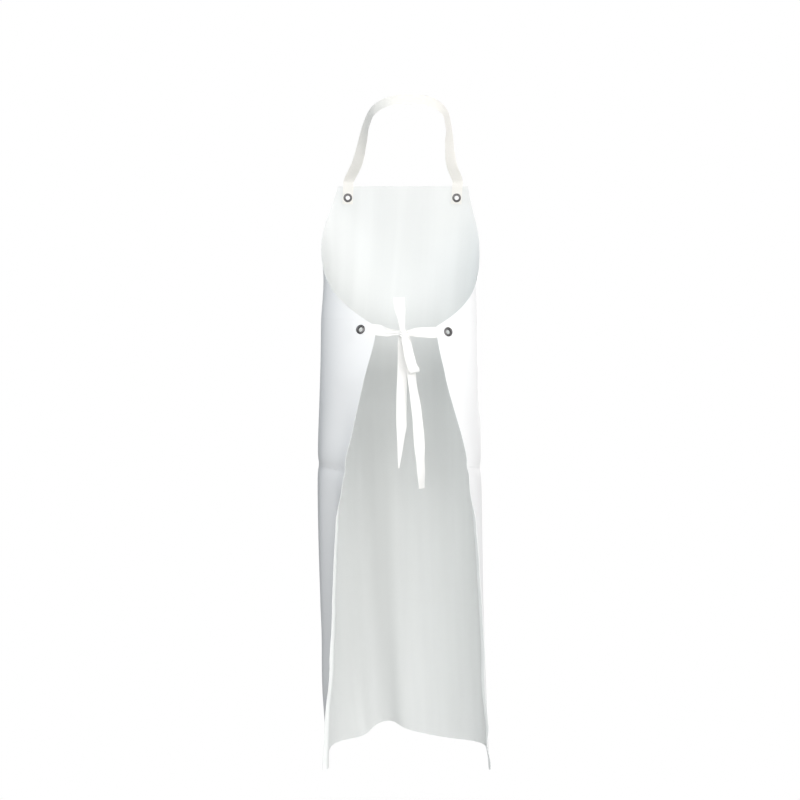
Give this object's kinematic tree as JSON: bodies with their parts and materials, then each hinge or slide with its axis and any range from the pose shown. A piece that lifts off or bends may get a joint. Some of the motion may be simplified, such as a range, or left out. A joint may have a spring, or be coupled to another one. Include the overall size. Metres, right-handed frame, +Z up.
{
  "type": "butcher apron",
  "caption": "Full-length bib apron of white coated sheet with a neck tape and waist ties clamped at metal eyelets, shown worn with the wings wrapped back and the ties in a bow.",
  "frame": {"origin": "point of the neck tape that rests on the wearer's nape", "axes": "+Z up as worn, wearer faces -Y, +X to the wearer's left"},
  "size_m": [0.313, 0.2445, 1.2097],
  "materials": {
    "coated_sheet": "smooth white coated sheet, satin outer face, finely woven backing",
    "cotton_tape": "flat woven cotton tape",
    "nickel": "nickel-plated brass, slightly dulled",
    "nickel_washer": "nickel-plated brass, slightly dulled"
  },
  "bodies": {
    "neck_strap": {"neck_strap": "cotton_tape"},
    "apron": {"apron_sheet": "coated_sheet", "eyelet_bib_left": "nickel", "eyelet_bib_right": "nickel", "eyelet_waist_left": "nickel", "eyelet_waist_right": "nickel", "washer_bib_left": "nickel_washer", "washer_bib_right": "nickel_washer", "washer_waist_left": "nickel_washer", "washer_waist_right": "nickel_washer", "neck_strap_end_left": "cotton_tape", "neck_strap_end_right": "cotton_tape", "waist_tie_left": "cotton_tape", "waist_tie_right": "cotton_tape", "bow_knot": "cotton_tape", "bow_loop_upper": "cotton_tape"},
    "tail_left": {"tie_tail_left": "cotton_tape"},
    "tail_right": {"tie_tail_right": "cotton_tape", "bow_loop_lower": "cotton_tape"}
  },
  "joints": [
    {"name": "bib_swing", "type": "hinge", "parent": "neck_strap", "child": "apron", "pos_m": [0, -0.1538, -0.1321], "axis": [1, 0, 0], "range_deg": [-90, 12]},
    {"name": "tail_left_swing", "type": "hinge", "parent": "apron", "child": "tail_left", "pos_m": [0.0011, 0.059, -0.4336], "axis": [1, 0, 0], "range_deg": [0, 60]},
    {"name": "tail_right_swing", "type": "hinge", "parent": "apron", "child": "tail_right", "pos_m": [0.0011, 0.059, -0.4336], "axis": [1, 0, 0], "range_deg": [0, 60]}
  ]
}
